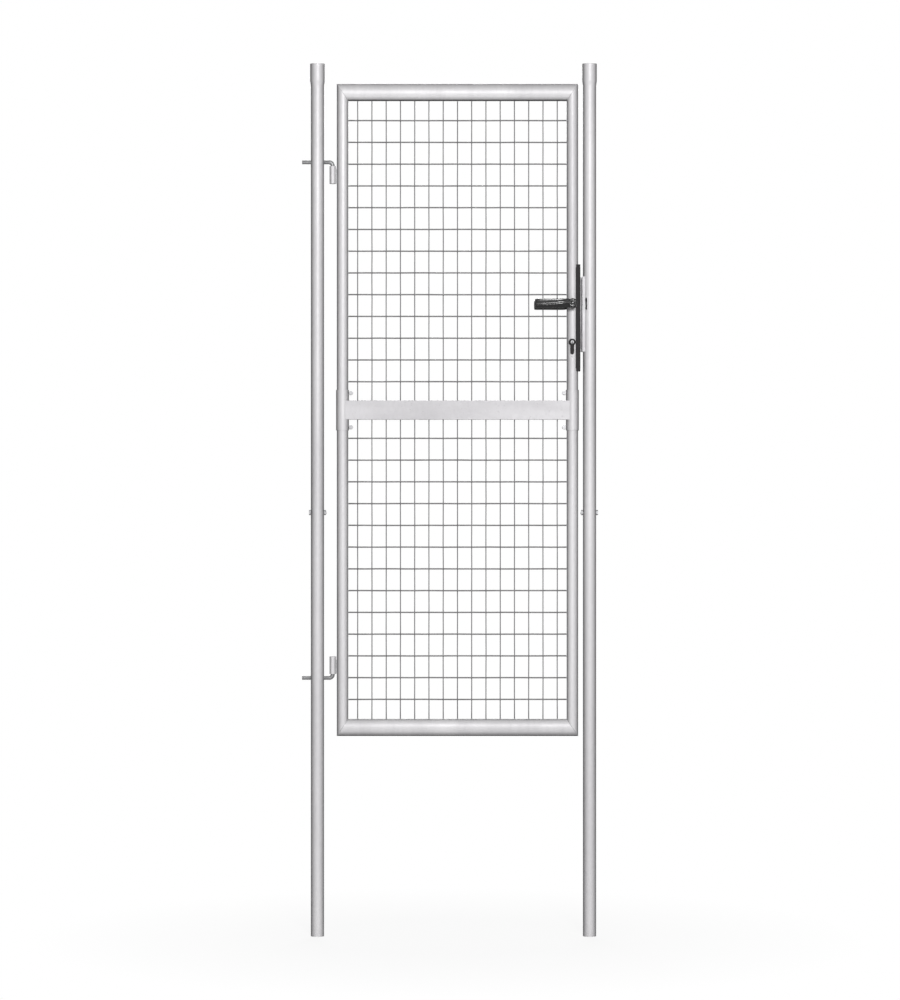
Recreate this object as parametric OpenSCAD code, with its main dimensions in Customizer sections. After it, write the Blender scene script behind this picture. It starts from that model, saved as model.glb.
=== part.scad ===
// Steel garden gate: a framed mesh leaf in two halves, hung between two tube posts.
// Millimetres. Origin: foot of the hinge post. +X to the latch side, +Z up, front faces -Y.

/* [Overall] */
// height of the posts, foot to top
post_h = 2500; // [2000:10:3200]
// distance between the two post axes
post_pitch = 780; // [600:5:1500]
// drop of the leaf's top edge below the post tops
leaf_drop = 57.5; // [20:0.5:200]
// height of the leaf's underside above the post feet
leaf_z0 = 573.5; // [300:0.5:900]

/* [Posts] */
// outer diameter of the post tube
post_d = 38; // [32:0.5:60]
// wall of the post tube
post_wall = 1.5; // [1:0.1:3]
// how much wider the expanded post top is than the tube
socket_grow = 4; // [2:0.5:10]
// straight length of the expanded post top
socket_h = 49; // [30:1:90]
// length of the taper under the expanded top
socket_taper_h = 14; // [6:1:30]
// height of the seam between lower and upper post tube
seam_z = 1262; // [900:1:1600]
// length of the spigot that stands in the lower tube
spigot_h = 95; // [60:1:150]
// clearance between the spigot and the lower tube, on the radius
spigot_gap = 0.2; // [0.1:0.05:0.5]
// drop of the post bolt below the seam
post_bolt_drop = 48; // [25:1:70]

/* [Fasteners] */
// thread diameter of the post bolts
bolt_d = 8; // [6:1:12]
// width across flats of the post bolt heads
bolt_af = 13; // [10:1:19]
// height of the post bolt heads and nuts
bolt_head_h = 5.3; // [4:0.1:8]
// length of thread past a post nut
bolt_tail = 1.5; // [0.5:0.5:4]
// clearance of a bolt in its hole, on the diameter
bolt_gap = 0.4; // [0.2:0.1:1]
// thread diameter of the collar bolts
collar_bolt_d = 6; // [5:1:8]
// width across flats of the collar bolt heads
collar_bolt_af = 10; // [8:1:13]
// height of the collar bolt heads and nuts
collar_bolt_head_h = 4.5; // [3:0.1:6]

/* [Hinges] */
// diameter of the hinge rods
rod_d = 12; // [10:0.5:16]
// bend radius of the hinge rods, to the rod's axis
rod_bend_r = 10; // [9:0.5:24]
// distance from the hinge post axis to the pin axis
pin_x = 43.7; // [38:0.1:60]
// drop of the upper hinge rod below the leaf's top edge
upper_rod_drop = 224.5; // [120:0.5:400]
// height of the lower hinge rod above the leaf's underside
lower_rod_rise = 166.5; // [120:0.5:400]
// length of rod past the far side of the hinge post
rod_tail = 25; // [8:1:60]
// length of pin past the end of the hinge eye
pin_tail = 0.5; // [0.5:0.5:10]
// wall of the hinge eyes, before the running clearance
eye_wall = 3; // [2:0.5:5]
// length of the hinge eyes
eye_h = 50; // [25:1:90]
// running clearance of a pin in its eye, on the radius
pin_gap = 0.05; // [0.02:0.01:0.1]
// gap between the rod's bend and the end of its eye
eye_gap = 1.5; // [0.5:0.5:5]
// thickness of the tab that welds an eye to the stile
tab_t = 6; // [4:0.5:10]
// slope of the tab's end edge, its fall over its width
tab_fall = 9; // [0:1:20]

/* [Leaf frame] */
// diameter of the stile tube, and depth of the rails
stile_d = 33; // [25:0.5:50]
// wall of the stile and rail tubes
stile_wall = 1.5; // [1:0.1:3]
// height of the oval rail section
rail_h = 49; // [35:0.5:70]
// corner radius of the oval rail section
rail_r = 12; // [6:0.5:14]
// gap between a hinge eye and the stile
eye_stile_gap = 2.7; // [1:0.1:8]
// gap between the lock forend and the keeper
latch_gap = 5.2; // [5:0.1:12]
// height of the joint between the leaf halves, above the leaf's underside
joint_h = 934; // [600:0.5:1300]

/* [Mesh] */
// least distance from a wire to the next stile or to the band beside it
wire_clear = 20; // [10:1:60]
// pitch of the upright wires
wire_pitch_x = 40.87; // [25:0.01:50]
// pitch of the cross wires
wire_pitch_z = 62.36; // [40:0.01:66]
// thickness of the upright wires
upright_d = 3; // [2:0.1:6]
// thickness of the cross wires
cross_d = 4; // [2:0.1:6]
// distance from a rail to the nearest cross wire
wire_edge = 56; // [20:0.5:120]

/* [Band and collars] */
// height of the band that covers the joint
band_h = 54; // [40:1:90]
// sheet thickness of the band
band_t = 1.5; // [1:0.1:3]
// how far the band's face stands in front of the stile tubes
band_proud = 0; // [-6:0.5:10]
// height of the collars round the stiles
collar_h = 116; // [80:1:200]
// sheet thickness of the collars
collar_t = 2; // [1.5:0.1:4]
// slot left between the two halves of a collar
collar_slot = 1; // [0.5:0.1:3]
// distance of a collar bolt from the collar's end
collar_bolt_inset = 9; // [7:0.5:20]

/* [Lock] */
// height of the lock's lower end above the joint
lock_rise = 111.2; // [70:0.1:200]
// length of the lock forend
lock_h = 306; // [240:1:400]
// depth of the lock case, back from the stile's outer edge
lock_case_w = 26; // [18:0.5:28]
// thickness of the lock case
lock_case_t = 16; // [10:0.5:20]
// how far the forend stands out of the stile
forend_out = 6.4; // [3:0.1:12]
// distance from the leaf's mid plane to the forend's front face
forend_front = 14; // [9:0.5:15]
// distance from the leaf's mid plane to the forend's back face
forend_back = 11; // [9:0.5:14]
// height of the lever's axis above the lock's lower end
lever_h = 193.3; // [150:0.1:240]
// height of the key cylinder's axis above the lock's lower end
key_h = 83.3; // [60:0.1:110]
// distance from the stile axis to the lever and key axes
backset_off = 1.1; // [0:0.1:3]
// diameter of the key cylinder's round part
key_d = 17; // [16:0.5:18]
// width of the key cylinder's flat part
key_tail_w = 8; // [8:0.5:11]
// height of the key cylinder
key_total_h = 42; // [30:0.5:50]
// length of the key cylinder, front to back
key_l = 43; // [36:1:80]
// width of the rim round the key cylinder
key_rim = 1.5; // [1.5:0.1:5]
// radial clearance between the key cylinder and its rim
key_gap = 0.25; // [0.1:0.05:0.5]

/* [Handle] */
// diameter of the lever's hub
hub_d = 28; // [18:0.5:34]
// length of the lever from its axis to its tip
lever_l = 108; // [80:1:140]
// height of the lever's grip
grip_h = 26; // [12:0.5:28]
// thickness of the lever's grip
grip_t = 13; // [8:0.5:16]
// distance from the leaf's mid plane to the grip's inner face
grip_y = 44; // [32:0.5:60]
// side of the square spindle
spindle_w = 8; // [7:0.5:10]
// clearance of the spindle in its holes, on the radius
spindle_gap = 0.3; // [0.1:0.05:0.6]

/* [Keeper] */
// height of the keeper's lower end above the lock's
keeper_rise = 56.3; // [20:0.1:80]
// length of the keeper
keeper_h = 215; // [180:1:300]
// sheet thickness of the keeper
keeper_t = 2; // [1.5:0.1:4]
// width of the keeper's web
keeper_w = 28; // [24:0.5:40]
// reach of the stop lip past the keeper's web
stop_reach = 9; // [6:0.5:16]

/* [Hidden] */
$fn = 64;
e = 0.01;
// posts
post_r = post_d / 2;
socket_d = post_d + socket_grow;
post_in = post_r - post_wall;
spigot_r = post_in - spigot_gap;
spigot_in = spigot_r - post_wall;
post_bolt_z = seam_z - post_bolt_drop;
// leaf frame
stile_r = stile_d / 2;
eye_d = rod_d + 2 * eye_wall;
x0 = pin_x + eye_d / 2 + eye_stile_gap;
hinge_x = x0 + stile_r;
keeper_x = post_pitch - post_r - keeper_t;
forend_x = keeper_x - latch_gap;
x1 = forend_x - forend_out;
latch_x = x1 - stile_r;
leaf_z1 = post_h - leaf_drop;
joint_z = leaf_z0 + joint_h;
upper_rod_z = leaf_z1 - upper_rod_drop;
lower_rod_z = leaf_z0 + lower_rod_rise;
rail_side_r = side_r(rail_h / 2, stile_r, rail_r);
in_x0 = x0 + stile_d;
in_x1 = x1 - stile_d;
in_z0 = leaf_z0 + rail_h;
in_z1 = leaf_z1 - rail_h;
// mesh
wires_x = floor((in_x1 - in_x0 - 2 * wire_clear) / wire_pitch_x) + 1;
mesh_x0 = (in_x0 + in_x1 - (wires_x - 1) * wire_pitch_x) / 2;
wire_y = (upright_d + cross_d) / 4 * 0.85;
// collars and band
band_y = stile_r + band_proud;
shell_r = stile_r + collar_t;
ear_w = collar_bolt_af + 2;
collar_bolt_x = shell_r + collar_bolt_af / 2 + 0.6;
collar_hole_d = collar_bolt_d + bolt_gap;
ear_y = collar_slot / 2 + collar_t;
// lock
lock_z0 = joint_z + lock_rise;
lever_x = latch_x - backset_off;
lever_z = lock_z0 + lever_h;
key_z = lock_z0 + key_h;
key_r = key_d / 2;
rose_y = stile_r;
rose_t = 5;
hub_y = rose_y + rose_t + 0.5;
tip_slant = 4;
grip_drop = 2;
bevel = 3;
latch_w = 12;
latch_h = 24;
dead_w = 10;
dead_h = 30;
bolt_depth = 14;
bolt_play = 0.2;
forend_end = 18;
forend_lip = 5;
forend_wrap = 7.5;
key_wall_gap = 0.3;
hub_hole_d = 14;
mesh_end_gap = 4;
band_gap = 0.3;
// keeper
keeper_z0 = lock_z0 + keeper_rise;
keeper_side = 8;
stop_step = 5;
screw_d = 4;
screw_head_d = 8;
screw_head_h = 1;
keeper_screw_z = [keeper_z0 + 12, keeper_z0 + keeper_h - 12];
notch_h = 34;
notch_depth = 11;

// radius of the long sides of a four-arc oval of half height a, half width b, end radius r
function side_r(a, b, r) = (pow(a - r, 2) + pow(b, 2) - pow(r, 2)) / (2 * (b - r));

// cylinder along X, from x = 0
module cyl_x(h, d, fn = $fn) {
    rotate([0, 90, 0]) cylinder(h = h, d = d, $fn = fn);
}

// cylinder along Y, from y = 0 towards +Y
module cyl_y(h, d, fn = $fn) {
    rotate([-90, 0, 0]) cylinder(h = h, d = d, $fn = fn);
}

// outline in X and Z, extruded along Y from y to y + t
module plate_xz(points, y, t) {
    translate([0, y + t, 0]) rotate([90, 0, 0]) linear_extrude(t) polygon(points);
}

// hexagon head or nut of width af, its axis along +X
module hex_x(af, h) {
    rotate([0, 90, 0]) cylinder(h = h, d = af / cos(30), $fn = 6);
}

module tube(h, r, wall) {
    difference() {
        cylinder(h = h, r = r);
        translate([0, 0, -1]) cylinder(h = h + 2, r = r - wall);
    }
}

// ---- posts ----

module post_bolt_hole() {
    translate([-post_d, 0, post_bolt_z]) cyl_x(2 * post_d, bolt_d + bolt_gap);
}

module post_lower() {
    difference() {
        tube(seam_z, post_r, post_wall);
        post_bolt_hole();
    }
}

module post_upper() {
    taper_z = post_h - socket_h - socket_taper_h;
    difference() {
        rotate_extrude() polygon([
            [spigot_in, seam_z - spigot_h],
            [spigot_r, seam_z - spigot_h],
            [spigot_r, seam_z],
            [post_r, seam_z],
            [post_r, taper_z],
            [socket_d / 2, post_h - socket_h],
            [socket_d / 2, post_h],
            [socket_d / 2 - post_wall, post_h],
            [socket_d / 2 - post_wall, post_h - socket_h],
            [post_in, taper_z],
            [post_in, seam_z + 2 * post_wall],
            [spigot_in, seam_z + post_wall]]);
        post_bolt_hole();
    }
}

module rod_holes() {
    for (z = [upper_rod_z, lower_rod_z])
        translate([-post_d, 0, z]) cyl_x(2 * post_d, rod_d + bolt_gap);
}

module hinge_post_lower() {
    color("lightgray") difference() {
        post_lower();
        rod_holes();
    }
}

module hinge_post_upper() {
    color("silver") difference() {
        post_upper();
        rod_holes();
    }
}

module latch_post_lower() {
    color("lightgray") translate([post_pitch, 0, 0]) post_lower();
}

module latch_post_upper() {
    color("silver") difference() {
        translate([post_pitch, 0, 0]) post_upper();
        translate([post_pitch - post_r - 1, -post_r, lever_z - notch_h / 2])
            cube([notch_depth + 1, post_r + latch_w / 2 + 1, notch_h]);
        lock_bolt_window(dead_w, dead_h, key_z, post_wall + 4);
    }
}

// bolt through the post at x = 0, its head towards -X
module post_bolt() {
    translate([-post_r - bolt_head_h, 0, post_bolt_z]) hex_x(bolt_af, bolt_head_h);
    translate([-post_r - e, 0, post_bolt_z])
        cyl_x(2 * post_r + bolt_head_h + bolt_tail + e, bolt_d);
}

module post_nut() {
    difference() {
        translate([post_r, 0, post_bolt_z]) hex_x(bolt_af, bolt_head_h);
        translate([post_r - 1, 0, post_bolt_z]) cyl_x(bolt_head_h + 2, bolt_d);
    }
}

module hinge_post_bolt() {
    color("gray") post_bolt();
}

module hinge_post_nut() {
    color("dimgray") post_nut();
}

module latch_post_bolt() {
    color("gray") translate([post_pitch, 0, 0]) mirror([1, 0, 0]) post_bolt();
}

module latch_post_nut() {
    color("dimgray") translate([post_pitch, 0, 0]) mirror([1, 0, 0]) post_nut();
}

// ---- hinges ----

// L-shaped rod with its level leg at z = 0 and its pin leg towards -Z
module hinge_rod() {
    bend_x = pin_x - rod_bend_r;
    translate([-post_r - rod_tail, 0, 0]) cyl_x(bend_x + post_r + rod_tail, rod_d);
    translate([bend_x, 0, -rod_bend_r]) rotate([90, 0, 0])
        rotate_extrude(angle = 90) translate([rod_bend_r, 0]) circle(d = rod_d);
    pin_l = eye_gap + eye_h + pin_tail;
    translate([pin_x, 0, -rod_bend_r - pin_l]) cylinder(h = pin_l, d = rod_d);
}

// eye for the rod above, with its welding tab
module hinge_eye() {
    top = -rod_bend_r - eye_gap;
    difference() {
        union() {
            translate([pin_x, 0, top - eye_h]) cylinder(h = eye_h, d = eye_d);
            plate_xz([
                [pin_x + eye_d / 2 - 2, top - eye_h],
                [hinge_x, top - eye_h],
                [hinge_x, top - tab_fall],
                [pin_x + eye_d / 2 - 2, top - 1]], -tab_t / 2, tab_t);
        }
        translate([pin_x, 0, top - eye_h - 1]) cylinder(h = eye_h + 2, r = rod_d / 2 + pin_gap);
        translate([hinge_x, 0, top - eye_h - 1]) cylinder(h = eye_h + 2, r = stile_r);
    }
}

module upper_hinge_rod() {
    color("darkgray") translate([0, 0, upper_rod_z]) hinge_rod();
}

module lower_hinge_rod() {
    color("darkgray") translate([0, 0, lower_rod_z]) mirror([0, 0, 1]) hinge_rod();
}

module upper_hinge_eye() {
    color("gray") translate([0, 0, upper_rod_z]) hinge_eye();
}

module lower_hinge_eye() {
    color("gray") translate([0, 0, lower_rod_z]) mirror([0, 0, 1]) hinge_eye();
}

// ---- leaf frame ----

// four-arc oval, half height a along Y, half width b along X
module oval(a, b, r, side) {
    flat_y = (a - r) * side / (side - r);
    for (s = [-1, 1]) translate([0, s * (a - r)]) circle(r = r);
    intersection() {
        translate([b - side, 0]) circle(r = side);
        translate([side - b, 0]) circle(r = side);
        translate([-b, -flat_y]) square([2 * b, 2 * flat_y]);
    }
}

// oval tube along X from the hinge stile's edge to the latch stile's, its axis at z = 0
module rail_tube() {
    translate([x0, 0, 0]) rotate([90, 0, 90]) linear_extrude(x1 - x0) difference() {
        oval(rail_h / 2, stile_r, rail_r, rail_side_r);
        oval(rail_h / 2 - stile_wall, stile_r - stile_wall, rail_r - stile_wall,
            rail_side_r - stile_wall);
    }
}

// half of the leaf's upper frame outline that the mitres leave to the rail
module rail_zone() {
    k = stile_d / rail_h;
    m = 10;
    plate_xz([
        [x0 - m * k, m],
        [x1 + m * k, m],
        [in_x1 - m * k, -rail_h - m],
        [in_x0 + m * k, -rail_h - m]], -stile_d, 2 * stile_d);
}

// rail whose outer edge is at z = 0, hanging down
module rail() {
    intersection() {
        translate([0, 0, -rail_h / 2]) rail_tube();
        rail_zone();
    }
}

// stile from z = 0 down to the joint, its outer corner mitred to the rail
module stile(x, l) {
    difference() {
        translate([x, 0, -l]) tube(l, stile_r, stile_wall);
        rail_zone();
    }
}

module top_rail() {
    color("silver") translate([0, 0, leaf_z1]) rail();
}

module bottom_rail() {
    color("silver") translate([0, 0, leaf_z0]) mirror([0, 0, 1]) rail();
}

module eye_side_stile(l) {
    stile(hinge_x, l);
}

// openings of the lock in the latch stile, in the leaf's own heights
module lock_cuts() {
    // pocket for the case, open to the outer edge
    translate([x1 - lock_case_w, -lock_case_t / 2 - 0.3, lock_z0 + forend_end - 0.3])
        cube([lock_case_w + 10, lock_case_t + 0.6, lock_h - 2 * forend_end + 0.6]);
    // the lever's hub and the key cylinder, front to back
    translate([lever_x, -stile_d, lever_z]) cyl_y(2 * stile_d, hub_hole_d);
    translate([0, 0, key_z]) key_shape(key_gap + key_wall_gap, 2 * stile_d);
}

module hinge_stile_upper() {
    color("lightgray") translate([0, 0, leaf_z1]) eye_side_stile(leaf_z1 - joint_z);
}

module hinge_stile_lower() {
    color("lightgray") translate([0, 0, leaf_z0]) mirror([0, 0, 1])
        eye_side_stile(joint_z - leaf_z0);
}

module latch_stile_upper() {
    color("lightgray") difference() {
        translate([0, 0, leaf_z1]) stile(latch_x, leaf_z1 - joint_z);
        lock_cuts();
    }
}

module latch_stile_lower() {
    color("lightgray") translate([0, 0, leaf_z0]) mirror([0, 0, 1])
        stile(latch_x, joint_z - leaf_z0);
}

// ---- mesh ----

// half mesh hanging from a rail whose inner edge is at z = 0, its cross wires clear of the band
module mesh(l) {
    wires_z = floor((l - wire_edge - band_h / 2 - wire_clear) / wire_pitch_z) + 1;
    for (i = [0 : wires_x - 1])
        translate([mesh_x0 + i * wire_pitch_x, wire_y, -l])
            cylinder(h = l, d = upright_d, $fn = 6);
    for (j = [0 : wires_z - 1])
        translate([in_x0, -wire_y, -wire_edge - j * wire_pitch_z])
            cyl_x(in_x1 - in_x0, cross_d, 6);
}

module upper_mesh() {
    color("gray") translate([0, 0, in_z1]) mesh(in_z1 - joint_z - mesh_end_gap);
}

module lower_mesh() {
    color("gray") translate([0, 0, in_z0]) mirror([0, 0, 1])
        mesh(joint_z - in_z0 - mesh_end_gap);
}

// ---- band and collars ----

// half of the band: a shallow channel, open towards the wires, which start at edge_y
module band(edge_y) {
    difference() {
        translate([hinge_x, -band_y, joint_z - band_h / 2])
            cube([latch_x - hinge_x, band_y - edge_y - band_gap, band_h]);
        translate([hinge_x - 1, -band_y + band_t, joint_z - band_h / 2 + band_t])
            cube([latch_x - hinge_x + 2, band_y, band_h - 2 * band_t]);
        for (x = [hinge_x, latch_x])
            translate([x, 0, joint_z - band_h]) cylinder(h = 2 * band_h, r = shell_r);
    }
}

module band_front() {
    color("lightsteelblue") band(0);
}

module band_back() {
    color("steelblue") mirror([0, 1, 0]) band(wire_y + upright_d / 2);
}

// front half of a collar with its two ears towards +X, round a stile at x = 0
module collar_half() {
    z = joint_z - collar_h / 2;
    difference() {
        union() {
            difference() {
                translate([0, 0, z]) cylinder(h = collar_h, r = shell_r);
                translate([-shell_r - 1, -collar_slot / 2, z - 1])
                    cube([2 * shell_r + 2, shell_r + 2, collar_h + 2]);
            }
            for (s = [-1, 1]) translate([0, -ear_y, collar_bolt_z(s)]) {
                translate([collar_bolt_x, 0, 0]) cyl_y(collar_t, ear_w);
                translate([stile_r, 0, -ear_w / 2])
                    cube([collar_bolt_x - stile_r, collar_t, ear_w]);
            }
        }
        translate([0, 0, z - 1]) cylinder(h = collar_h + 2, r = stile_r);
        for (s = [-1, 1])
            translate([collar_bolt_x, -ear_y - 1, collar_bolt_z(s)])
                cyl_y(collar_t + 2, collar_hole_d);
    }
}

// the collar's two bolts with their nuts
module collar_bolts() {
    for (s = [-1, 1]) translate([collar_bolt_x, 0, collar_bolt_z(s)]) {
        translate([0, -ear_y - collar_bolt_head_h, 0])
            cyl_y(collar_bolt_head_h, collar_bolt_af / cos(30), 6);
        translate([0, -ear_y - e, 0])
            cyl_y(2 * ear_y + collar_bolt_head_h + 2 + e, collar_bolt_d);
        translate([0, ear_y, 0]) cyl_y(collar_bolt_head_h, collar_bolt_af / cos(30), 6);
    }
}

function collar_bolt_z(s) = joint_z + s * (collar_h / 2 - collar_bolt_inset);

module hinge_collar_front() {
    color("gainsboro") translate([hinge_x, 0, 0]) collar_half();
}

module hinge_collar_back() {
    color("darkgray") translate([hinge_x, 0, 0]) mirror([0, 1, 0]) collar_half();
}

module latch_collar_front() {
    color("gainsboro") translate([latch_x, 0, 0]) mirror([1, 0, 0]) collar_half();
}

module latch_collar_back() {
    color("darkgray") translate([latch_x, 0, 0]) mirror([1, 0, 0]) mirror([0, 1, 0]) collar_half();
}

module hinge_collar_bolts() {
    color("dimgray") translate([hinge_x, 0, 0]) collar_bolts();
}

module latch_collar_bolts() {
    color("dimgray") translate([latch_x, 0, 0]) mirror([1, 0, 0]) collar_bolts();
}

// ---- lock ----

// outline of the key cylinder grown by g, through the leaf, l long
module key_shape(g, l) {
    translate([lever_x, -l / 2, 0]) {
        cyl_y(l, key_d + 2 * g);
        translate([-key_tail_w / 2 - g, 0, key_r - key_total_h + key_tail_w / 2])
            cube([key_tail_w + 2 * g, l, key_total_h - key_r - key_tail_w / 2]);
        translate([0, 0, key_r - key_total_h + key_tail_w / 2])
            cyl_y(l, key_tail_w + 2 * g);
    }
}

// bolt of the lock, drawn back flush with the forend
module lock_bolt(w, h, z, grow = 0) {
    translate([forend_x - bolt_depth, -w / 2 - grow, z - h / 2 - grow])
        cube([bolt_depth + (grow > 0 ? 1 : 0), w + 2 * grow, h + 2 * grow]);
}

module lock_case() {
    color("slategray") difference() {
        translate([x1 - lock_case_w, -lock_case_t / 2, lock_z0 + forend_end])
            cube([lock_case_w - forend_lip, lock_case_t, lock_h - 2 * forend_end]);
        translate([0, 0, key_z]) key_shape(key_gap, 2 * stile_d);
        translate([lever_x, -stile_d, lever_z])
            cyl_y(2 * stile_d, spindle_w * sqrt(2) + 2 * spindle_gap);
        lock_bolt(latch_w, latch_h, lever_z, bolt_play);
        lock_bolt(dead_w, dead_h, key_z, bolt_play);
    }
}

// the block that the forend is cut from
module forend_block() {
    translate([x1 - forend_wrap, -forend_front, lock_z0])
        cube([forend_x - x1 + forend_wrap, forend_front + forend_back, lock_h]);
}

// the forend: a saddle that wraps the stile's outer side
module lock_forend() {
    color("black") difference() {
        forend_block();
        translate([latch_x, 0, lock_z0 - 1]) cylinder(h = lock_h + 2, r = stile_r);
        lock_bolt(latch_w, latch_h, lever_z, bolt_play);
        lock_bolt(dead_w, dead_h, key_z, bolt_play);
    }
}

module latch_bolt() {
    color("silver") lock_bolt(latch_w, latch_h, lever_z);
}

module dead_bolt() {
    color("silver") lock_bolt(dead_w, dead_h, key_z);
}

// rim round the key cylinder, on the front of the stile
module cylinder_rim() {
    difference() {
        translate([0, 0, key_z]) key_shape(key_rim, 2 * (rose_y + 2));
        translate([0, 0, key_z]) key_shape(key_gap, 4 * stile_d);
        translate([latch_x, 0, lock_z0]) cylinder(h = lock_h, r = stile_r);
        translate([lever_x - stile_d, 0, lock_z0]) cube([2 * stile_d, 2 * stile_d, lock_h]);
    }
}

module cylinder_rim_front() {
    color("black") cylinder_rim();
}

module cylinder_rim_back() {
    color("black") mirror([0, 1, 0]) cylinder_rim();
}

module lock_cylinder() {
    color("gainsboro") translate([0, 0, key_z]) key_shape(0, key_l);
}

// ---- handle ----

// rose of the front lever, notched where it sits over the forend
module handle_rose() {
    difference() {
        translate([lever_x, -rose_y - rose_t, lever_z]) cyl_y(rose_t + stile_r, hub_d);
        translate([latch_x, 0, lever_z - hub_d]) cylinder(h = 2 * hub_d, r = stile_r);
        forend_block();
        translate([lever_x, -2 * stile_d, lever_z]) cyl_y(2 * stile_d, hub_hole_d);
    }
}

module handle_rose_front() {
    color("dimgray") handle_rose();
}

module handle_rose_back() {
    color("dimgray") mirror([0, 1, 0]) handle_rose();
}

// lever on the front: hub and tapered grip, with a square hole for the spindle
module lever() {
    tip_x = lever_x - lever_l;
    y0 = -grip_y - grip_t;
    difference() {
        union() {
            translate([lever_x, -grip_y - grip_t, lever_z])
                cyl_y(grip_y + grip_t - hub_y, hub_d);
            plate_xz([
                [tip_x + tip_slant, lever_z + grip_h / 2],
                [lever_x, lever_z + hub_d / 2 + 0.4],
                [lever_x - hub_d / 3, lever_z - grip_h / 2 - grip_drop - 0.4],
                [tip_x, lever_z - grip_h / 2 - grip_drop + 0.4]], y0, grip_t);
        }
        // long bevels on the front face
        translate([0, y0, lever_z + grip_h / 2 + 1]) rotate([45, 0, 0])
            translate([tip_x - 5, -bevel, -bevel])
            cube([lever_l + hub_d + 5, 2 * bevel, 2 * bevel]);
        translate([0, y0, lever_z - grip_h / 2 - grip_drop]) rotate([45, 0, 0])
            translate([tip_x - 5, -bevel, -bevel])
            cube([lever_l - hub_d / 2 + 5, 2 * bevel, 2 * bevel]);
        translate([lever_x - spindle_w / 2 - 0.1, -grip_y, lever_z - spindle_w / 2 - 0.1])
            cube([spindle_w + 0.2, grip_y, spindle_w + 0.2]);
    }
}

module lever_front() {
    color("black") lever();
}

module lever_back() {
    color("black") mirror([0, 1, 0]) lever();
}

module spindle() {
    color("gray") translate([lever_x - spindle_w / 2, -grip_y + 1, lever_z - spindle_w / 2])
        cube([spindle_w, 2 * grip_y - 2, spindle_w]);
}

// ---- keeper ----

// U-channel on the latch post, with a stop lip behind the leaf
module keeper_plate() {
    color("silver") difference() {
        union() {
            difference() {
                translate([keeper_x, -keeper_w / 2, keeper_z0])
                    cube([keeper_side, keeper_w + stop_step, keeper_h]);
                translate([keeper_x + keeper_t, -keeper_w / 2 + keeper_t, keeper_z0 - 1])
                    cube([keeper_side, keeper_w + stop_step - 2 * keeper_t, keeper_h + 2]);
                translate([post_pitch, 0, keeper_z0 - 1]) cylinder(h = keeper_h + 2, r = post_r);
            }
            translate([keeper_x - stop_reach, keeper_w / 2 + stop_step - keeper_t, keeper_z0])
                cube([stop_reach + keeper_t, keeper_t, keeper_h]);
        }
        lock_bolt_window(latch_w, latch_h, lever_z);
        lock_bolt_window(dead_w, dead_h, key_z);
        keeper_screw_holes();
    }
}

// window for a lock bolt, d deep behind the keeper's web
module lock_bolt_window(w, h, z, d = 1) {
    translate([keeper_x - 1, -w / 2 - 1, z - h / 2 - 2]) cube([keeper_t + 1 + d, w + 2, h + 4]);
}

module keeper_screw_holes() {
    for (z = keeper_screw_z) translate([keeper_x, 0, z]) {
        translate([-1, 0, 0]) cyl_x(keeper_t + 2, screw_d + bolt_gap);
        translate([-1, 0, 0]) cyl_x(1 + screw_head_h, screw_head_d + bolt_gap);
    }
}

// flat-head screws that hold the keeper to the post
module keeper_screws() {
    color("gray") for (z = keeper_screw_z) translate([keeper_x, 0, z]) {
        cyl_x(screw_head_h, screw_head_d);
        translate([screw_head_h - e, 0, 0]) cyl_x(keeper_t - screw_head_h + e, screw_d);
    }
}

hinge_post_lower();
hinge_post_upper();
latch_post_lower();
latch_post_upper();
hinge_post_bolt();
hinge_post_nut();
latch_post_bolt();
latch_post_nut();
upper_hinge_rod();
lower_hinge_rod();
keeper_plate();
keeper_screws();
top_rail();
bottom_rail();
hinge_stile_upper();
hinge_stile_lower();
latch_stile_upper();
latch_stile_lower();
upper_mesh();
lower_mesh();
band_front();
band_back();
hinge_collar_front();
hinge_collar_back();
latch_collar_front();
latch_collar_back();
hinge_collar_bolts();
latch_collar_bolts();
upper_hinge_eye();
lower_hinge_eye();
lock_case();
lock_forend();
latch_bolt();
dead_bolt();
cylinder_rim_front();
cylinder_rim_back();
lock_cylinder();
handle_rose_front();
handle_rose_back();
lever_front();
lever_back();
spindle();
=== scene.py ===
import math
import random
import bpy
import bmesh
from mathutils import Matrix, Vector


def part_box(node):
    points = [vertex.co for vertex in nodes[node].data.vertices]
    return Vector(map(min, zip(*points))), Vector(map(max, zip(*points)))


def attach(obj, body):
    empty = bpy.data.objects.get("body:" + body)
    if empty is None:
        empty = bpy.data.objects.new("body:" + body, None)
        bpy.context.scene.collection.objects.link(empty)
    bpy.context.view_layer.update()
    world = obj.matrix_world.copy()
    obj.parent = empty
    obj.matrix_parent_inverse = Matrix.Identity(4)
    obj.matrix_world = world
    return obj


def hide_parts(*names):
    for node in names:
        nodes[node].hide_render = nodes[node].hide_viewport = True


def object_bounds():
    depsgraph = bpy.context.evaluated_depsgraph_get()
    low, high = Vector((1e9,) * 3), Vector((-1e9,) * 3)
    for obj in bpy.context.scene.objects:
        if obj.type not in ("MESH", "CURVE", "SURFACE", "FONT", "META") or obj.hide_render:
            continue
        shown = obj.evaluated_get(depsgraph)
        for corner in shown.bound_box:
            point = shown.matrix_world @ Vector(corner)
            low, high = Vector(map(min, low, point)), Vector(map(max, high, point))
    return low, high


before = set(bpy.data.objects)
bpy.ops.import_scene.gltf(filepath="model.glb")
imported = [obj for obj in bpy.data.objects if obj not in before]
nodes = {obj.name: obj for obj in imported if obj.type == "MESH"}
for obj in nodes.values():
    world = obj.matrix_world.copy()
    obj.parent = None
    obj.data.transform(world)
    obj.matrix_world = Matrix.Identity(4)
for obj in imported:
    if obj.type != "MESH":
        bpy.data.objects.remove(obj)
cad_low, cad_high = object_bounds()

random.seed(7)

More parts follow.
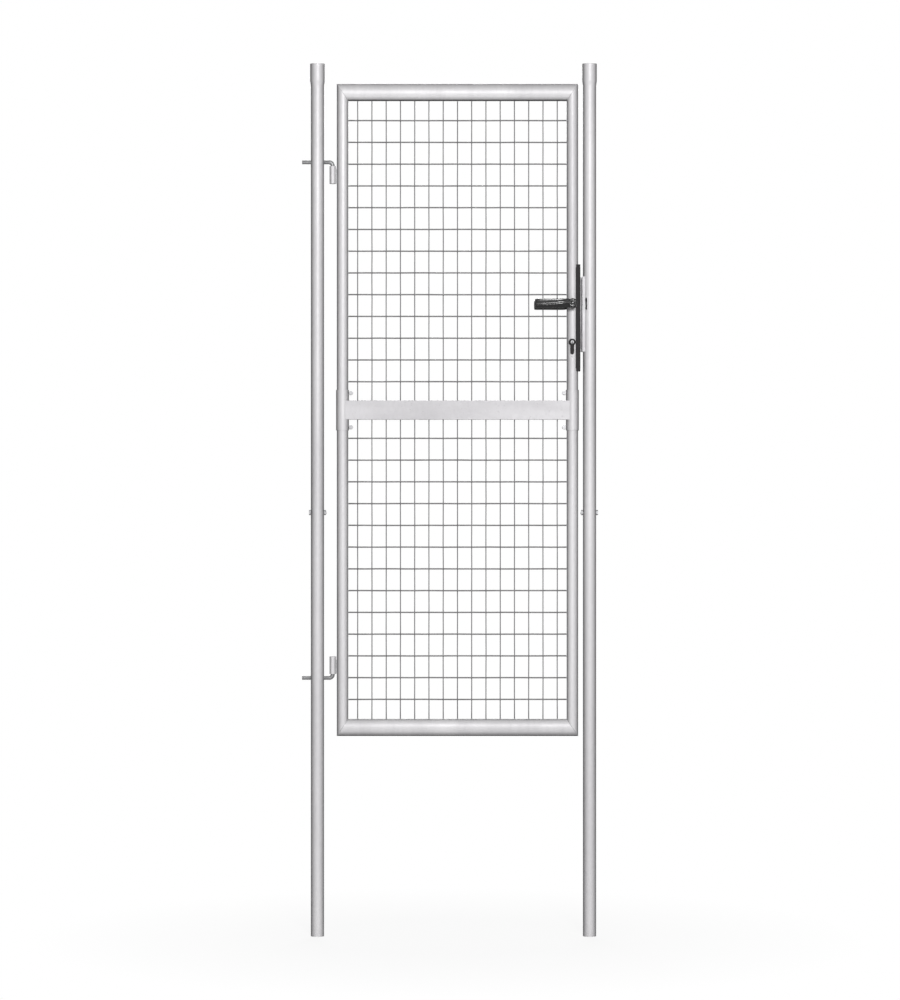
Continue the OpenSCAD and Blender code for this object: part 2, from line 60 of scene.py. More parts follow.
# ---------------------------------------------------------------- materials


class Graph:
    """A node material with one Principled shader, and short calls for its nodes."""

    def __init__(self, name):
        self.mat = bpy.data.materials.new(name)
        self.mat.use_nodes = True
        self.tree = self.mat.node_tree
        self.shader = self.tree.nodes["Principled BSDF"]
        self.coord = self.tree.nodes.new("ShaderNodeTexCoord").outputs["Object"]

    def node(self, kind, **values):
        made = self.tree.nodes.new(kind)
        for key, value in values.items():
            setattr(made, key, value)
        return made

    def link(self, a, b):
        self.tree.links.new(a, b)

    def stretched(self, scale):
        mapping = self.node("ShaderNodeMapping")
        mapping.inputs["Scale"].default_value = scale
        self.link(self.coord, mapping.inputs["Vector"])
        return mapping.outputs["Vector"]

    def noise(self, scale, detail=2.0, rough=0.5, stretch=None):
        made = self.node("ShaderNodeTexNoise")
        made.inputs["Scale"].default_value = scale
        made.inputs["Detail"].default_value = detail
        made.inputs["Roughness"].default_value = rough
        self.link(self.stretched(stretch) if stretch else self.coord, made.inputs["Vector"])
        return made.outputs["Fac"]

    def cells(self, scale, stretch=None):
        made = self.node("ShaderNodeTexVoronoi")
        made.inputs["Scale"].default_value = scale
        self.link(self.stretched(stretch) if stretch else self.coord, made.inputs["Vector"])
        return made.outputs["Color"]

    def remap(self, value, low, high, to_low, to_high):
        made = self.node("ShaderNodeMapRange")
        for key, number in (("From Min", low), ("From Max", high),
                            ("To Min", to_low), ("To Max", to_high)):
            made.inputs[key].default_value = number
        self.link(value, made.inputs["Value"])
        return made.outputs["Result"]

    def ramp(self, value, *stops):
        made = self.node("ShaderNodeValToRGB")
        elements = made.color_ramp.elements
        while len(elements) < len(stops):
            elements.new(0.5)
        for element, (place, colour) in zip(elements, stops):
            element.position = place
            element.color = (*colour, 1)
        self.link(value, made.inputs["Fac"])
        return made.outputs["Color"]

    def mix(self, a, b, factor, blend="MIX"):
        made = self.node("ShaderNodeMix", data_type="RGBA", blend_type=blend)
        for value, socket in ((factor, made.inputs[0]), (a, made.inputs[6]), (b, made.inputs[7])):
            if isinstance(value, (int, float)):
                socket.default_value = value
            elif isinstance(value, tuple):
                socket.default_value = (*value, 1)
            else:
                self.link(value, socket)
        return made.outputs[2]

    def add(self, a, b, operation="ADD"):
        made = self.node("ShaderNodeMath", operation=operation)
        for value, socket in ((a, made.inputs[0]), (b, made.inputs[1])):
            if isinstance(value, (int, float)):
                socket.default_value = value
            else:
                self.link(value, socket)
        return made.outputs[0]

    def bump(self, height, strength, distance):
        made = self.node("ShaderNodeBump")
        made.inputs["Strength"].default_value = strength
        made.inputs["Distance"].default_value = distance
        self.link(height, made.inputs["Height"])
        self.link(made.outputs["Normal"], self.shader.inputs["Normal"])


def galvanised(name, dark, light, rough, streak, edge):
    """Hot-dip zinc: soft spangle, long drawn streaks and small dull spots, with painted shade at edges
    turned away from the camera and on undersides.
    """
    g = Graph(name)
    spangle = g.remap(g.cells(140, (1, 1, 0.6)), 0, 1, -0.5, 0.5)
    soft = g.noise(9, 4, 0.6, streak)
    fine = g.noise(420, 2, 0.6)
    tone = g.add(g.add(soft, g.add(spangle, 0.10, "MULTIPLY")), g.add(fine, 0.12, "MULTIPLY"))
    colour = g.ramp(tone, (0.30, dark), (0.85, light))
    dull = g.remap(g.noise(60, 3, 0.7), 0.62, 0.74, 0, 1)
    colour = g.mix(colour, tuple(c * 0.82 for c in light), g.add(dull, 0.35, "MULTIPLY"))
    # painted shade: the colour is darkened where the surface turns away from the camera
    facing = g.node("ShaderNodeLayerWeight")
    facing.inputs["Blend"].default_value = 0.5
    painted_edge_shade = g.remap(facing.outputs["Facing"], 0, 0.6, 1, edge)
    # painted shade on the undersides: faces that point down are darkened, most where they point
    # straight down
    split = g.node("ShaderNodeSeparateXYZ")
    g.link(g.node("ShaderNodeNewGeometry").outputs["Normal"], split.inputs[0])
    under = g.remap(split.outputs["Z"], -0.92, -0.4, 0.12, 1)
    colour = g.mix(colour, g.add(painted_edge_shade, under, "MULTIPLY"), 1.0, "MULTIPLY")
    g.link(colour, g.shader.inputs["Base Color"])
    g.link(g.remap(tone, 0.3, 0.9, rough + 0.06, rough - 0.06), g.shader.inputs["Roughness"])
    g.shader.inputs["Metallic"].default_value = 0.06
    g.shader.inputs["Specular IOR Level"].default_value = 0.04
    g.bump(g.add(soft, g.add(fine, 0.35, "MULTIPLY")), 0.25, 0.0004)
    return g.mat


def zinc_plated(name, tone):
    """Bright zinc on a bolt or a rod, a little darker in random patches."""
    g = Graph(name)
    grain = g.noise(300, 3, 0.6)
    wash = g.noise(35, 2, 0.5)
    g.link(g.ramp(g.add(grain, wash, "MULTIPLY"),
                  (0.1, tuple(c * 0.6 for c in tone)), (0.4, tone)),
           g.shader.inputs["Base Color"])
    g.link(g.remap(grain, 0.3, 0.7, 0.34, 0.5), g.shader.inputs["Roughness"])
    g.shader.inputs["Metallic"].default_value = 0.45
    g.bump(grain, 0.2, 0.0003)
    return g.mat


def black_coat(name, tone, rough, gloss_variation, grain_scale, grain_strength, gloss):
    """Black coated metal or moulded plastic with a faint grain and hand wear."""
    g = Graph(name)
    grain = g.noise(grain_scale, 2, 0.5)
    wear = g.noise(14, 4, 0.65)
    g.link(g.ramp(wear, (0.35, tone), (0.75, tuple(c * 1.7 for c in tone))),
           g.shader.inputs["Base Color"])
    g.link(g.remap(wear, 0.3, 0.7, rough, rough + gloss_variation), g.shader.inputs["Roughness"])
    g.shader.inputs["Specular IOR Level"].default_value = gloss
    g.bump(grain, grain_strength, 0.0002)
    return g.mat


# the last number sets how dark the painted shade gets at edges turned away from the camera
ZINC = galvanised("galvanised_tube", (0.56, 0.55, 0.565), (0.74, 0.73, 0.74), 0.42, (1, 1, 0.12), 0.32)
BAND = galvanised("galvanised_sheet", (0.50, 0.49, 0.505), (0.66, 0.65, 0.665), 0.5, (0.25, 1, 1), 0.7)
WIRE = galvanised("galvanised_wire", (0.16, 0.155, 0.16), (0.28, 0.275, 0.28), 0.5, (1, 1, 1), 0.8)
BOLT = zinc_plated("zinc_plated_bolt", (0.34, 0.34, 0.35))
ROD = zinc_plated("zinc_plated_rod", (0.26, 0.26, 0.265))
NICKEL = zinc_plated("nickel_lock", (0.66, 0.64, 0.62))
LOCK_STEEL = zinc_plated("lock_case_steel", (0.35, 0.35, 0.36))
BLACK = black_coat("black_coated_metal", (0.016, 0.015, 0.016), 0.55, 0.12, 500, 0.1, 0.12)
PLASTIC = black_coat("black_plastic_gloss", (0.004, 0.004, 0.0045), 0.2, 0.02, 240, 0.0, 0.35)
WELD = zinc_plated("zinc_weld", (0.50, 0.50, 0.51))


def paint(material, *names):
    for name in names:
        data = nodes[name].data
        if not data.materials:
            data.materials.append(material)
        for index in range(len(data.materials)):
            nodes[name].material_slots[index].link = "OBJECT"
            nodes[name].material_slots[index].material = material


paint(ZINC, *[n for n in nodes if "post_upper" in n or "post_lower" in n or "stile" in n
              or "rail" in n or "collar_front" in n or "collar_back" in n])
paint(BAND, "band_front", "band_back", "keeper_plate")
paint(WIRE, "upper_mesh", "lower_mesh")
paint(BOLT, *[n for n in nodes if "bolts" in n or "_post_bolt" in n or "_nut" in n],
      "keeper_screws")
paint(ROD, "upper_hinge_rod", "lower_hinge_rod")
paint(ZINC, "upper_hinge_eye", "lower_hinge_eye")
paint(NICKEL, "latch_bolt", "dead_bolt", "spindle")
paint(LOCK_STEEL, "lock_case")
paint(BLACK, "lock_forend", "cylinder_rim_front", "cylinder_rim_back", "lock_cylinder")
paint(PLASTIC, "handle_rose_front", "handle_rose_back", "lever_front", "lever_back")

# ---------------------------------------------------------------- building blocks

MM = 0.001

def piece(name, mesh, material, body, smooth=True):
    """Links a bmesh as a shown piece that rides on a CAD body."""
    bmesh.ops.recalc_face_normals(mesh, faces=mesh.faces)
    data = bpy.data.meshes.new(name)
    mesh.to_mesh(data)
    mesh.free()
    for face in data.polygons:
        face.use_smooth = smooth
    data.materials.append(material)
    made = bpy.data.objects.new(name, data)
    bpy.context.scene.collection.objects.link(made)
    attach(made, body)
    return made


def stand_for(made, *names):
    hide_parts(*names)
    return made


def sweep(mesh, path, radius, sides=16):
    """Closed tube along a path. radius is a number or a call of (ring index, angle)."""
    size = radius if callable(radius) else (lambda i, angle: radius)
    rings = []
    side = None
    for i, point in enumerate(path):
        ahead = (path[min(i + 1, len(path) - 1)] - path[max(i - 1, 0)]).normalized()
        if side is None:
            side = ahead.orthogonal().normalized()
        side = (side - ahead * side.dot(ahead)).normalized()
        up = ahead.cross(side)
        rings.append([mesh.verts.new(point + size(i, a) * (side * math.cos(a) + up * math.sin(a)))
                      for a in [2 * math.pi * k / sides for k in range(sides)]])
    for a, b in zip(rings, rings[1:]):
        for k in range(sides):
            n = (k + 1) % sides
            mesh.faces.new((a[k], a[n], b[n], b[k]))
    mesh.faces.new(rings[0])
    mesh.faces.new(rings[-1])


def line(a, b, steps):
    a, b = Vector(a), Vector(b)
    return [a.lerp(b, i / steps) for i in range(steps + 1)]


def lathe(mesh, profile, origin, axis, sides=40):
    """Closed solid of revolution. profile lists (distance along the axis, radius)."""
    axis = Vector(axis).normalized()
    side = axis.orthogonal().normalized()
    up = axis.cross(side)
    rings = []
    for along, radius in profile:
        base = Vector(origin) + axis * along
        if radius == 0:
            rings.append([mesh.verts.new(base)])
            continue
        rings.append([mesh.verts.new(base + radius * (side * math.cos(a) + up * math.sin(a)))
                      for a in [2 * math.pi * k / sides for k in range(sides)]])
    for a, b in zip(rings, rings[1:]):
        for k in range(sides):
            n = (k + 1) % sides
            if len(a) == 1:
                mesh.faces.new((a[0], b[n], b[k]))
            elif len(b) == 1:
                mesh.faces.new((a[k], a[n], b[0]))
            else:
                mesh.faces.new((a[k], a[n], b[n], b[k]))
    for ring in (rings[0], rings[-1]):
        if len(ring) > 1:
            mesh.faces.new(ring)


def blob(mesh, place, radii, detail=2):
    """Squashed, slightly uneven ball, for a weld or a drop of zinc."""
    turn = Matrix.Rotation(random.uniform(0, math.pi), 4, "Z")
    shape = Matrix.Diagonal((*radii, 1))
    made = bmesh.ops.create_icosphere(mesh, subdivisions=detail, radius=1,
                                      matrix=Matrix.Translation(place) @ shape @ turn)
    for vert in made["verts"]:
        off = vert.co - Vector(place)
        vert.co += off * random.uniform(-0.09, 0.09)


def soften(made, width, segments=3):
    bevel = made.modifiers.new("soft_edges", "BEVEL")
    bevel.width = width
    bevel.segments = segments
    bevel.limit_method = "ANGLE"
    bevel.angle_limit = math.radians(35)
    return made


def prism(mesh, outline, y0, y1):
    """Closed prism: an outline in X and Z, between two values of Y."""
    front = [mesh.verts.new((x, y0, z)) for x, z in outline]
    back = [mesh.verts.new((x, y1, z)) for x, z in outline]
    mesh.faces.new(front)
    mesh.faces.new(list(reversed(back)))
    for i in range(len(outline)):
        n = (i + 1) % len(outline)
        mesh.faces.new((front[i], front[n], back[n], back[i]))


# ---------------------------------------------------------------- threaded hinge rods

ROD_BEND = 10 * MM
THREAD_PITCH = 1.75 * MM
STEPS_PER_TURN = 4


def hinge_rod(node, name, sign):
    """Bent rod whose level leg is threaded. sign is -1 where the pin points down."""
    low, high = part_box(node)
    radius = (high[1] - low[1]) / 2
    bend = ROD_BEND
    level = high[2] - radius if sign < 0 else low[2] + radius
    pin_end = low[2] if sign < 0 else high[2]
    pin_x = high[0] - radius
    steps = int((pin_x - bend - low[0]) / THREAD_PITCH * STEPS_PER_TURN)
    path = line((low[0], 0, level), (pin_x - bend, 0, level), steps)
    threaded = len(path)
    for k in range(1, 13):
        a = math.radians(90 * k / 12)
        path.append(Vector((pin_x - bend + bend * math.sin(a), 0,
                            level + sign * bend * (1 - math.cos(a)))))
    path += line((pin_x, 0, level + sign * bend), (pin_x, 0, pin_end), 6)[1:]

    def size(i, angle):
        if i in (0, len(path) - 1):
            return radius * 0.86
        if i >= threaded - 2:
            return radius * 0.995
        turn = (i / STEPS_PER_TURN + angle / (2 * math.pi)) % 1
        return radius * (0.86 + 0.135 * abs(2 * turn - 1))

    mesh = bmesh.new()
    sweep(mesh, path, size, 20)
    return stand_for(piece(name, mesh, ROD, "posts"), node)


hinge_rod("upper_hinge_rod", "upper_threaded_rod", -1)
hinge_rod("lower_hinge_rod", "lower_threaded_rod", 1)

# ---------------------------------------------------------------- round mesh wires


def round_wires(node, name):
    """The mesh in round wire, each wire a little uneven."""
    low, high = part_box(node)
    mesh = bmesh.new()
    uprights, crosses = WIRES[node]
    for x in uprights:
        wave = [random.uniform(-0.25, 0.25) * MM for _ in range(15)]
        path = [p + Vector((wave[i], 0, 0)) for i, p in
                enumerate(line((x, UPRIGHT_Y, low[2]), (x, UPRIGHT_Y, high[2]), 14))]
        sweep(mesh, path, UPRIGHT_R, 10)
    for z in crosses:
        wave = [random.uniform(-0.25, 0.25) * MM for _ in range(15)]
        path = [p + Vector((0, 0, wave[i])) for i, p in
                enumerate(line((low[0], CROSS_Y, z), (high[0], CROSS_Y, z), 14))]
        sweep(mesh, path, CROSS_R, 10)
    return stand_for(piece(name, mesh, WIRE, "leaf"), node)


def levels(values, apart):
    """Sorted values with near repeats joined into their mean."""
    groups = []
    for value in sorted(values):
        if groups and value - groups[-1][-1] < apart:
            groups[-1].append(value)
        else:
            groups.append([value])
    return [(g[0] + g[-1]) / 2 for g in groups]


UPRIGHT_R, CROSS_R = 1.5 * MM, 2.0 * MM
WIRES = {}
for mesh_node in ("upper_mesh", "lower_mesh"):
    low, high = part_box(mesh_node)
    points = [v.co for v in nodes[mesh_node].data.vertices]
    tops = [p for p in points if abs(p.z - (high[2] if mesh_node == "upper_mesh" else low[2])) < 1e-5]
    sides = [p for p in points if abs(p.x - low[0]) < 1e-5]
    WIRES[mesh_node] = (levels([p.x for p in tops], 6 * MM), levels([p.z for p in sides], 8 * MM))
    UPRIGHT_Y = (min(p.y for p in tops) + max(p.y for p in tops)) / 2
    CROSS_Y = (min(p.y for p in sides) + max(p.y for p in sides)) / 2
for mesh_node, name in (("upper_mesh", "upper_round_wires"), ("lower_mesh", "lower_round_wires")):
    round_wires(mesh_node, name)


def wire_welds():
    """A small weld where each wire meets the frame."""
    mesh = bmesh.new()
    for node in WIRES:
        low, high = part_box(node)
        uprights, crosses = WIRES[node]
        edge = high[2] if node == "upper_mesh" else low[2]
        for x in uprights:
            blob(mesh, (x, UPRIGHT_Y, edge), (2.3 * MM, 2.3 * MM, 1.6 * MM))
        for z in crosses:
            for x in (low[0], high[0]):
                blob(mesh, (x, CROSS_Y, z), (1.7 * MM, 2.6 * MM, 2.7 * MM))
    piece("wire_end_welds", mesh, WELD, "leaf")


wire_welds()

# ---------------------------------------------------------------- welds of the frame


def mitre_welds():
    """A low bead on each corner, where rail and stile meet on the mitre."""
    mesh = bmesh.new()
    for rail, sign in (("top_rail", -1), ("bottom_rail", 1)):
        low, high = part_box(rail)
        edge = high[2] if sign < 0 else low[2]
        rise = high[2] - low[2]
        for stile, outer in (("hinge_stile_upper", low[0]), ("latch_stile_upper", high[0])):
            box_low, box_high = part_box(stile)
            radius = (box_high[1] - box_low[1]) / 2
            middle = box_low[0] + radius if outer == low[0] else box_high[0] - radius
            inward = 1 if outer == low[0] else -1
            path = []
            for k in range(48):
                a = 2 * math.pi * k / 48
                x = middle + radius * math.cos(a)
                z = edge + sign * abs(x - outer) * rise / (2 * radius)
                path.append(Vector((x, radius * math.sin(a), z)))
            path.append(path[0].copy())
            uneven = [random.uniform(0.45, 0.75) * MM for _ in path]
            sweep(mesh, path, lambda i, a: uneven[i], 6)
    piece("mitre_weld_beads", mesh, WELD, "leaf")


def tab_welds():
    """Beads down both ends of each hinge tab, front and back."""
    mesh = bmesh.new()
    for eye, stile in (("upper_hinge_eye", "hinge_stile_upper"),
                       ("lower_hinge_eye", "hinge_stile_lower")):
        low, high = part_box(eye)
        stile_low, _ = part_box(stile)
        for y in (-3.2 * MM, 3.2 * MM):
            for x in (stile_low[0] + 0.1 * MM, low[0] + 17.6 * MM):
                path = line((x, y, low[2] + 1.5 * MM), (x, y, high[2] - 9 * MM), 22)
                uneven = [random.uniform(1.0, 1.7) * MM for _ in path]
                sweep(mesh, path, lambda i, a: uneven[i], 8)
    piece("hinge_weld_beads", mesh, WELD, "leaf")


mitre_welds()
tab_welds()

# ---------------------------------------------------------------- band edge


def band_drops():
    """Small frozen runs of zinc along the band's edges, as dipping leaves them."""
    mesh = bmesh.new()
    low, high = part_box("band_front")
    x = low[0] + 12 * MM
    while x < high[0] - 12 * MM:
        wide = random.uniform(1.2, 4.5) * MM
        tall = random.uniform(0.35, 1.3) * MM
        blob(mesh, (x, low[1] + 0.9 * MM, high[2] - 0.15 * MM), (wide, 0.85 * MM, tall), 1)
        x += wide + random.uniform(0.5, 9) * MM
    for _ in range(70):
        x = random.uniform(low[0] + 0.02, high[0] - 0.02)
        z = random.uniform(low[2] + 0.004, high[2] - 0.002)
        wide = random.uniform(0.6, 2.0) * MM
        blob(mesh, (x, low[1] + 0.15 * MM, z), (wide, 0.4 * MM, wide * random.uniform(0.6, 1.6)), 1)
    piece("band_zinc_drops", mesh, BAND, "leaf")


band_drops()

# ---------------------------------------------------------------- lock


def forend_cover():
    """Black forend: a stepped strip with a boss round the dead bolt and a block at each end."""
    low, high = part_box("lock_forend")
    x0, x1 = low[0], high[0]
    step = 0.4 * MM
    dead_low, dead_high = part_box("dead_bolt")
    end = 9 * MM
    outline = [
        (x0 + 1.5 * MM, low[2]), (x1 - 1.6 * step, low[2]), (x1 - 1.6 * step, low[2] + end),
        (x1 - step, low[2] + end), (x1 - step, dead_low[2] - 6 * MM), (x1, dead_low[2] - 6 * MM),
        (x1, dead_high[2] + 28 * MM), (x1 - 0.6 * step, dead_high[2] + 30 * MM),
        (x1 - 0.6 * step, high[2] - 5 * end), (x1 - step, high[2] - 4.8 * end),
        (x1 - step, high[2] - end), (x1 - 1.5 * step, high[2] - end), (x1 - 1.5 * step, high[2]),
        (x0 + 1.5 * MM, high[2]), (x0 + 1.5 * MM, high[2] - end), (x0, high[2] - end),
        (x0, low[2] + end), (x0 + 1.5 * MM, low[2] + end)]
    mesh = bmesh.new()
    prism(mesh, outline, low[1], high[1])
    made = piece("forend_strip", mesh, BLACK, "leaf", smooth=False)
    soften(made, 0.6 * MM, 2)
    return stand_for(made, "lock_forend")


def round_bar(mesh, centre_x, centre_z, radius, y0, y1, edge, sides=36):
    """Disc or bar along Y with softened rims."""
    lathe(mesh, [(0, radius - edge), (edge * 0.3, radius - edge * 0.3), (edge, radius),
                 (y1 - y0 - edge, radius), (y1 - y0 - edge * 0.3, radius - edge * 0.3),
                 (y1 - y0, radius - edge)], (centre_x, y0, centre_z), (0, 1, 0), sides)


def key_details():
    """The turning plug with a black shape painted as the shade of its key slot, and the screw under
    the cylinder, on both faces.
    """
    low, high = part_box("lock_cylinder")
    radius = (high[0] - low[0]) / 2
    x, z = (low[0] + high[0]) / 2, high[2] - radius
    stile_low, stile_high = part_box("latch_stile_upper")
    for side, face, name in ((-1, low[1], "front"), (1, high[1], "back")):
        out = face + side * 0.8 * MM
        mesh = bmesh.new()
        round_bar(mesh, x, z, 5.0 * MM, min(face, out), max(face, out), 0.4 * MM)
        piece("key_plug_" + name, mesh, LOCK_STEEL, "leaf")
        # painted shade: a thin black keyway outline stands proud of the plug face where the slot's
        # dark recess would be
        mesh = bmesh.new()
        slot = out + side * 0.15 * MM
        w, h = 0.9 * MM, 4.2 * MM
        prism(mesh, [(x - w, z - h), (x + w, z - h), (x + w, z - 1 * MM), (x + 0.3 * MM, z),
                     (x + w, z + 1 * MM), (x + w, z + h), (x - w, z + h), (x - w, z + 1.4 * MM),
                     (x - 0.3 * MM, z + 0.4 * MM), (x - w, z - 0.6 * MM)],
              min(out, slot), max(out, slot))
        piece("keyway_painted_shade_" + name, mesh, BLACK, "leaf", smooth=False)
        mesh = bmesh.new()
        stile = stile_low[1] if side < 0 else stile_high[1]
        top = stile + side * 1.1 * MM
        root = stile - side * 1.5 * MM
        round_bar(mesh, x, low[2] - 8 * MM, 2.6 * MM, min(root, top), max(root, top), 0.5 * MM, 24)
        piece("cylinder_screw_" + name, mesh, BOLT, "leaf")


forend_cover()
key_details()

# ---------------------------------------------------------------- levers


def lever(node, rose, name, side):
    """Moulded lever: a ridged, tapered grip that flows into a round hub."""
    low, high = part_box(node)
    rose_low, rose_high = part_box(rose)
    axis_x = (rose_low[0] + rose_high[0]) / 2
    axis_z = (rose_low[2] + rose_high[2]) / 2
    hub_r = high[0] - axis_x
    outer = low[1] if side < 0 else high[1]
    inner = high[1] if side < 0 else low[1]
    reach = axis_x - low[0]
    thick = 13 * MM
    back = outer - side * thick

    def section(u, top, bottom, ridge, depth, hollow):
        x = axis_x - reach * u
        strip = (2.0 + 3.6 * (1 - abs(u - 0.35))) * MM
        out = outer - side * depth
        return [(x, back, top - 4 * MM), (x, back + side * 5 * MM, top),
                (x, out - side * 1.2 * MM, top - 1.2 * MM), (x, out - side * 0.2 * MM, top - 4 * MM),
                (x, out - side * 1.1 * MM, ridge + strip), (x, out, ridge),
                (x, out - side * 3.6 * MM, bottom + 3.2 * MM),
                (x, back + side * 5 * MM, bottom), (x, back, bottom + 4 * MM),
                (x, back + side * hollow, (top + bottom) / 2)]

    z = axis_z
    rows = [
        section(1.00, z + 12.4 * MM, z - 14.6 * MM, z - 6.4 * MM, 3.2 * MM, 2 * MM),
        section(0.975, z + 13.2 * MM, z - 15.4 * MM, z - 6.8 * MM, 0.8 * MM, 1 * MM),
        section(0.80, z + 13.5 * MM, z - 15.4 * MM, z - 6.0 * MM, 0.1 * MM, 1 * MM),
        section(0.55, z + 13.7 * MM, z - 15.5 * MM, z - 4.4 * MM, 0.0 * MM, 1 * MM),
        section(0.36, z + 13.9 * MM, z - 15.6 * MM, z - 2.8 * MM, 0.0 * MM, 1 * MM),
        section(0.25, z + 14.0 * MM, z - 15.6 * MM, z - 1.0 * MM, 0.6 * MM, 1 * MM),
        section(0.16, z + 14.0 * MM, z - 15.4 * MM, z + 1.0 * MM, 1.8 * MM, 1 * MM),
        section(0.06, z + 12.0 * MM, z - 12.0 * MM, z + 2.0 * MM, 3.0 * MM, 1 * MM),
        section(-0.03, z + 8.0 * MM, z - 7.0 * MM, z + 2.0 * MM, 4.5 * MM, 1 * MM)]
    mesh = bmesh.new()
    rings = [[mesh.verts.new(p) for p in row] for row in rows]
    count = len(rings[0])
    for a, b in zip(rings, rings[1:]):
        for k in range(count):
            n = (k + 1) % count
            mesh.faces.new((a[k], a[n], b[n], b[k]))
    mesh.faces.new(rings[0])
    mesh.faces.new(rings[-1])
    crease = mesh.edges.layers.float.new("crease_edge")
    held = {ring[k] for ring in rings for k in (4, 5)}
    for edge in mesh.edges:
        if all(v in held for v in edge.verts):
            edge[crease] = 0.8
    grip = piece(name + "_grip", mesh, PLASTIC, "handle")
    rounder = grip.modifiers.new("rounder", "SUBSURF")
    rounder.levels = rounder.render_levels = 3
    mesh = bmesh.new()
    y_in, y_out = inner, outer - side * 1.2 * MM
    length = abs(y_out - y_in)
    profile = [(0, hub_r - 1.6 * MM), (0.6 * MM, hub_r - 0.8 * MM), (2 * MM, hub_r - 0.5 * MM),
               (length - 7 * MM, hub_r - 0.5 * MM), (length - 3 * MM, hub_r - 1.4 * MM),
               (length - 1 * MM, hub_r - 3.6 * MM), (length - 0.2 * MM, hub_r - 5.8 * MM),
               (length - 1.1 * MM, hub_r - 7.2 * MM), (length - 1.1 * MM, hub_r - 8.4 * MM),
               (length - 0.3 * MM, hub_r - 9.4 * MM), (length, hub_r - 11.4 * MM), (length, 0)]
    lathe(mesh, profile, (axis_x, y_in, axis_z), (0, side, 0), 48)
    piece(name + "_hub", mesh, PLASTIC, "handle")
    stand_for(grip, node)


lever("lever_front", "handle_rose_front", "front_lever", -1)
lever("lever_back", "handle_rose_back", "back_lever", 1)

# ---------------------------------------------------------------- floor, light, camera

MID_X = (cad_low[0] + cad_high[0]) / 2
MID_Z = (cad_low[2] + cad_high[2]) / 2
SIDE_SOFTBOX = (1.2, 2.6)


def white_where_seen(name, colour):
    """A pale ground that shows white to the camera and to gloss, and keeps the shadow at the posts."""
    g = Graph(name)
    g.shader.inputs["Roughness"].default_value = 0.9
    tone = g.noise(3, 3, 0.5)
    g.link(g.ramp(tone, (0.3, tuple(c * 0.985 for c in colour)), (0.8, colour)),
           g.shader.inputs["Base Color"])
    far = g.node("ShaderNodeVectorMath", operation="LENGTH")
    g.link(g.coord, far.inputs[0])
    share = g.remap(far.outputs["Value"], 0.4, 1.2, 0.9, 1.0)
    path = g.node("ShaderNodeLightPath")
    seen = g.add(path.outputs["Is Camera Ray"],
                 g.add(path.outputs["Is Glossy Ray"], path.outputs["Is Transmission Ray"],
                       "MAXIMUM"), "MAXIMUM")
    glow = g.node("ShaderNodeEmission")
    pick = g.node("ShaderNodeMixShader")
    g.link(g.add(seen, share, "MULTIPLY"), pick.inputs[0])
    g.link(g.shader.outputs[0], pick.inputs[1])
    g.link(glow.outputs[0], pick.inputs[2])
    g.link(pick.outputs[0], g.tree.nodes["Material Output"].inputs["Surface"])
    return g.mat


def add_floor():
    mesh = bmesh.new()
    bmesh.ops.create_grid(mesh, x_segments=8, y_segments=8, size=30)
    data = bpy.data.meshes.new("floor")
    mesh.to_mesh(data)
    mesh.free()
    floor = bpy.data.objects.new("floor", data)
    # just under the feet, so that the two faces don't fight
    floor.location = (MID_X, 0, cad_low[2] - 0.5 * MM)
    data.materials.append(white_where_seen("floor_pale", (0.62, 0.62, 0.62)))
    bpy.context.scene.collection.objects.link(floor)
    return floor


def add_area(name, place, aim, size, power, colour=(1, 1, 1)):
    light = bpy.data.lights.new(name, "AREA")
    light.shape = "RECTANGLE"
    light.size, light.size_y = size
    light.energy = power
    light.color = colour
    made = bpy.data.objects.new(name, light)
    made.location = place
    made.rotation_euler = (Vector(aim) - Vector(place)).to_track_quat("-Z", "Y").to_euler()
    bpy.context.scene.collection.objects.link(made)
    return made


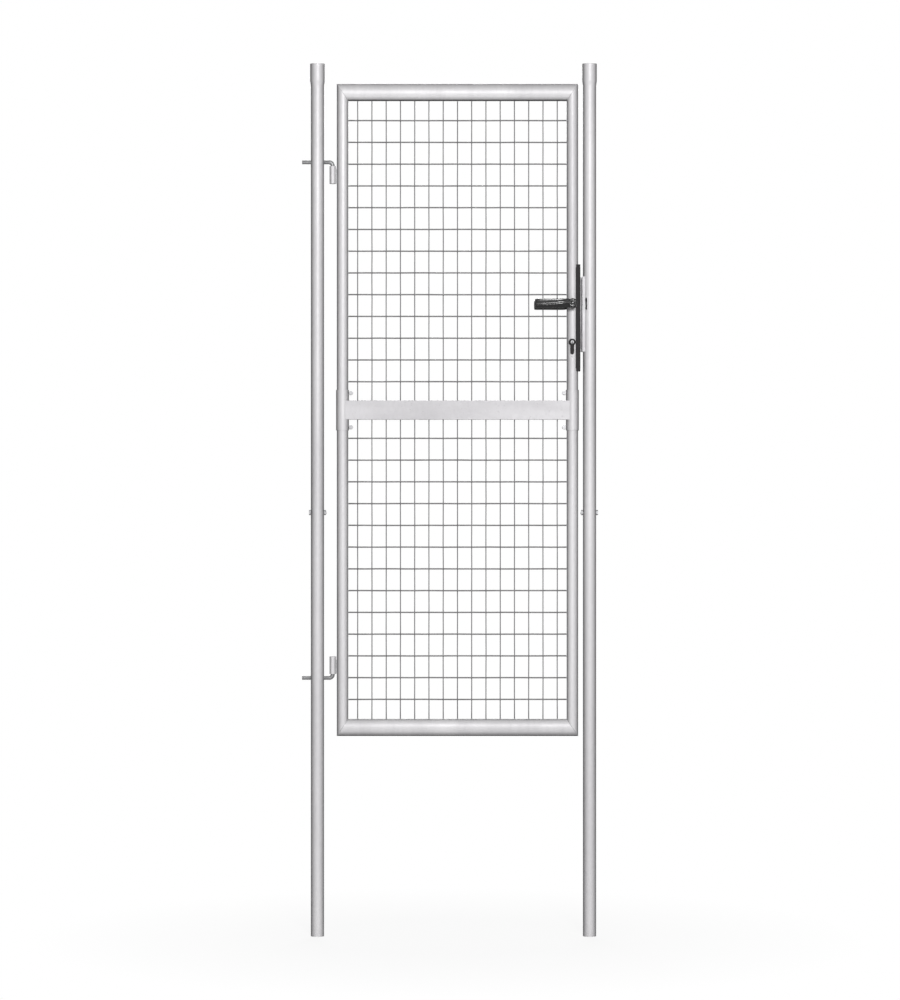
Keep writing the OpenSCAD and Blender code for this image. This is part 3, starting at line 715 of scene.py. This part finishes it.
def add_camera():
    data = bpy.data.cameras.new("camera")
    data.lens = 120
    data.sensor_width = 36
    data.sensor_fit = "VERTICAL"
    data.sensor_height = 36
    data.clip_end = 200
    made = bpy.data.objects.new("camera", data)
    bpy.context.scene.collection.objects.link(made)
    reach = 2.867 * data.lens / 36
    made.location = (0.380, -reach, 1.250)
    made.rotation_euler = (math.radians(90), 0, 0)
    bpy.context.scene.camera = made


def set_world():
    world = bpy.data.worlds.new("studio")
    bpy.context.scene.world = world
    world.use_nodes = True
    tree = world.node_tree
    tree.nodes.clear()
    path = tree.nodes.new("ShaderNodeLightPath")
    seen = tree.nodes.new("ShaderNodeMath")
    seen.operation = "MAXIMUM"
    through = tree.nodes.new("ShaderNodeMath")
    through.operation = "MAXIMUM"
    tree.links.new(path.outputs["Is Glossy Ray"], through.inputs[0])
    tree.links.new(path.outputs["Is Transmission Ray"], through.inputs[1])
    tree.links.new(path.outputs["Is Camera Ray"], seen.inputs[0])
    tree.links.new(through.outputs[0], seen.inputs[1])
    fill = tree.nodes.new("ShaderNodeBackground")
    fill.inputs["Color"].default_value = (0.9, 0.9, 0.92, 1)
    fill.inputs["Strength"].default_value = 0.07
    white = tree.nodes.new("ShaderNodeBackground")
    white.inputs["Color"].default_value = (1, 1, 1, 1)
    white.inputs["Strength"].default_value = 1
    pick = tree.nodes.new("ShaderNodeMixShader")
    out = tree.nodes.new("ShaderNodeOutputWorld")
    tree.links.new(seen.outputs[0], pick.inputs[0])
    tree.links.new(fill.outputs[0], pick.inputs[1])
    tree.links.new(white.outputs[0], pick.inputs[2])
    tree.links.new(pick.outputs[0], out.inputs["Surface"])


add_floor()
set_world()
add_camera()
add_area("key", (MID_X + 1.1, -9.0, 3.8), (MID_X, 0, MID_Z), (1.4, 2.0), 760)
add_area("fill_left", (MID_X - 4.0, -2.2, 2.0), (MID_X, 0, MID_Z), SIDE_SOFTBOX, 5)
add_area("fill_right", (MID_X + 4.0, -2.2, 2.0), (MID_X, 0, MID_Z), SIDE_SOFTBOX, 5)
add_area("back", (MID_X, 4.0, 3.6), (MID_X, 0, MID_Z), (2.5, 2.0), 150)

bpy.context.scene.view_settings.view_transform = "Standard"
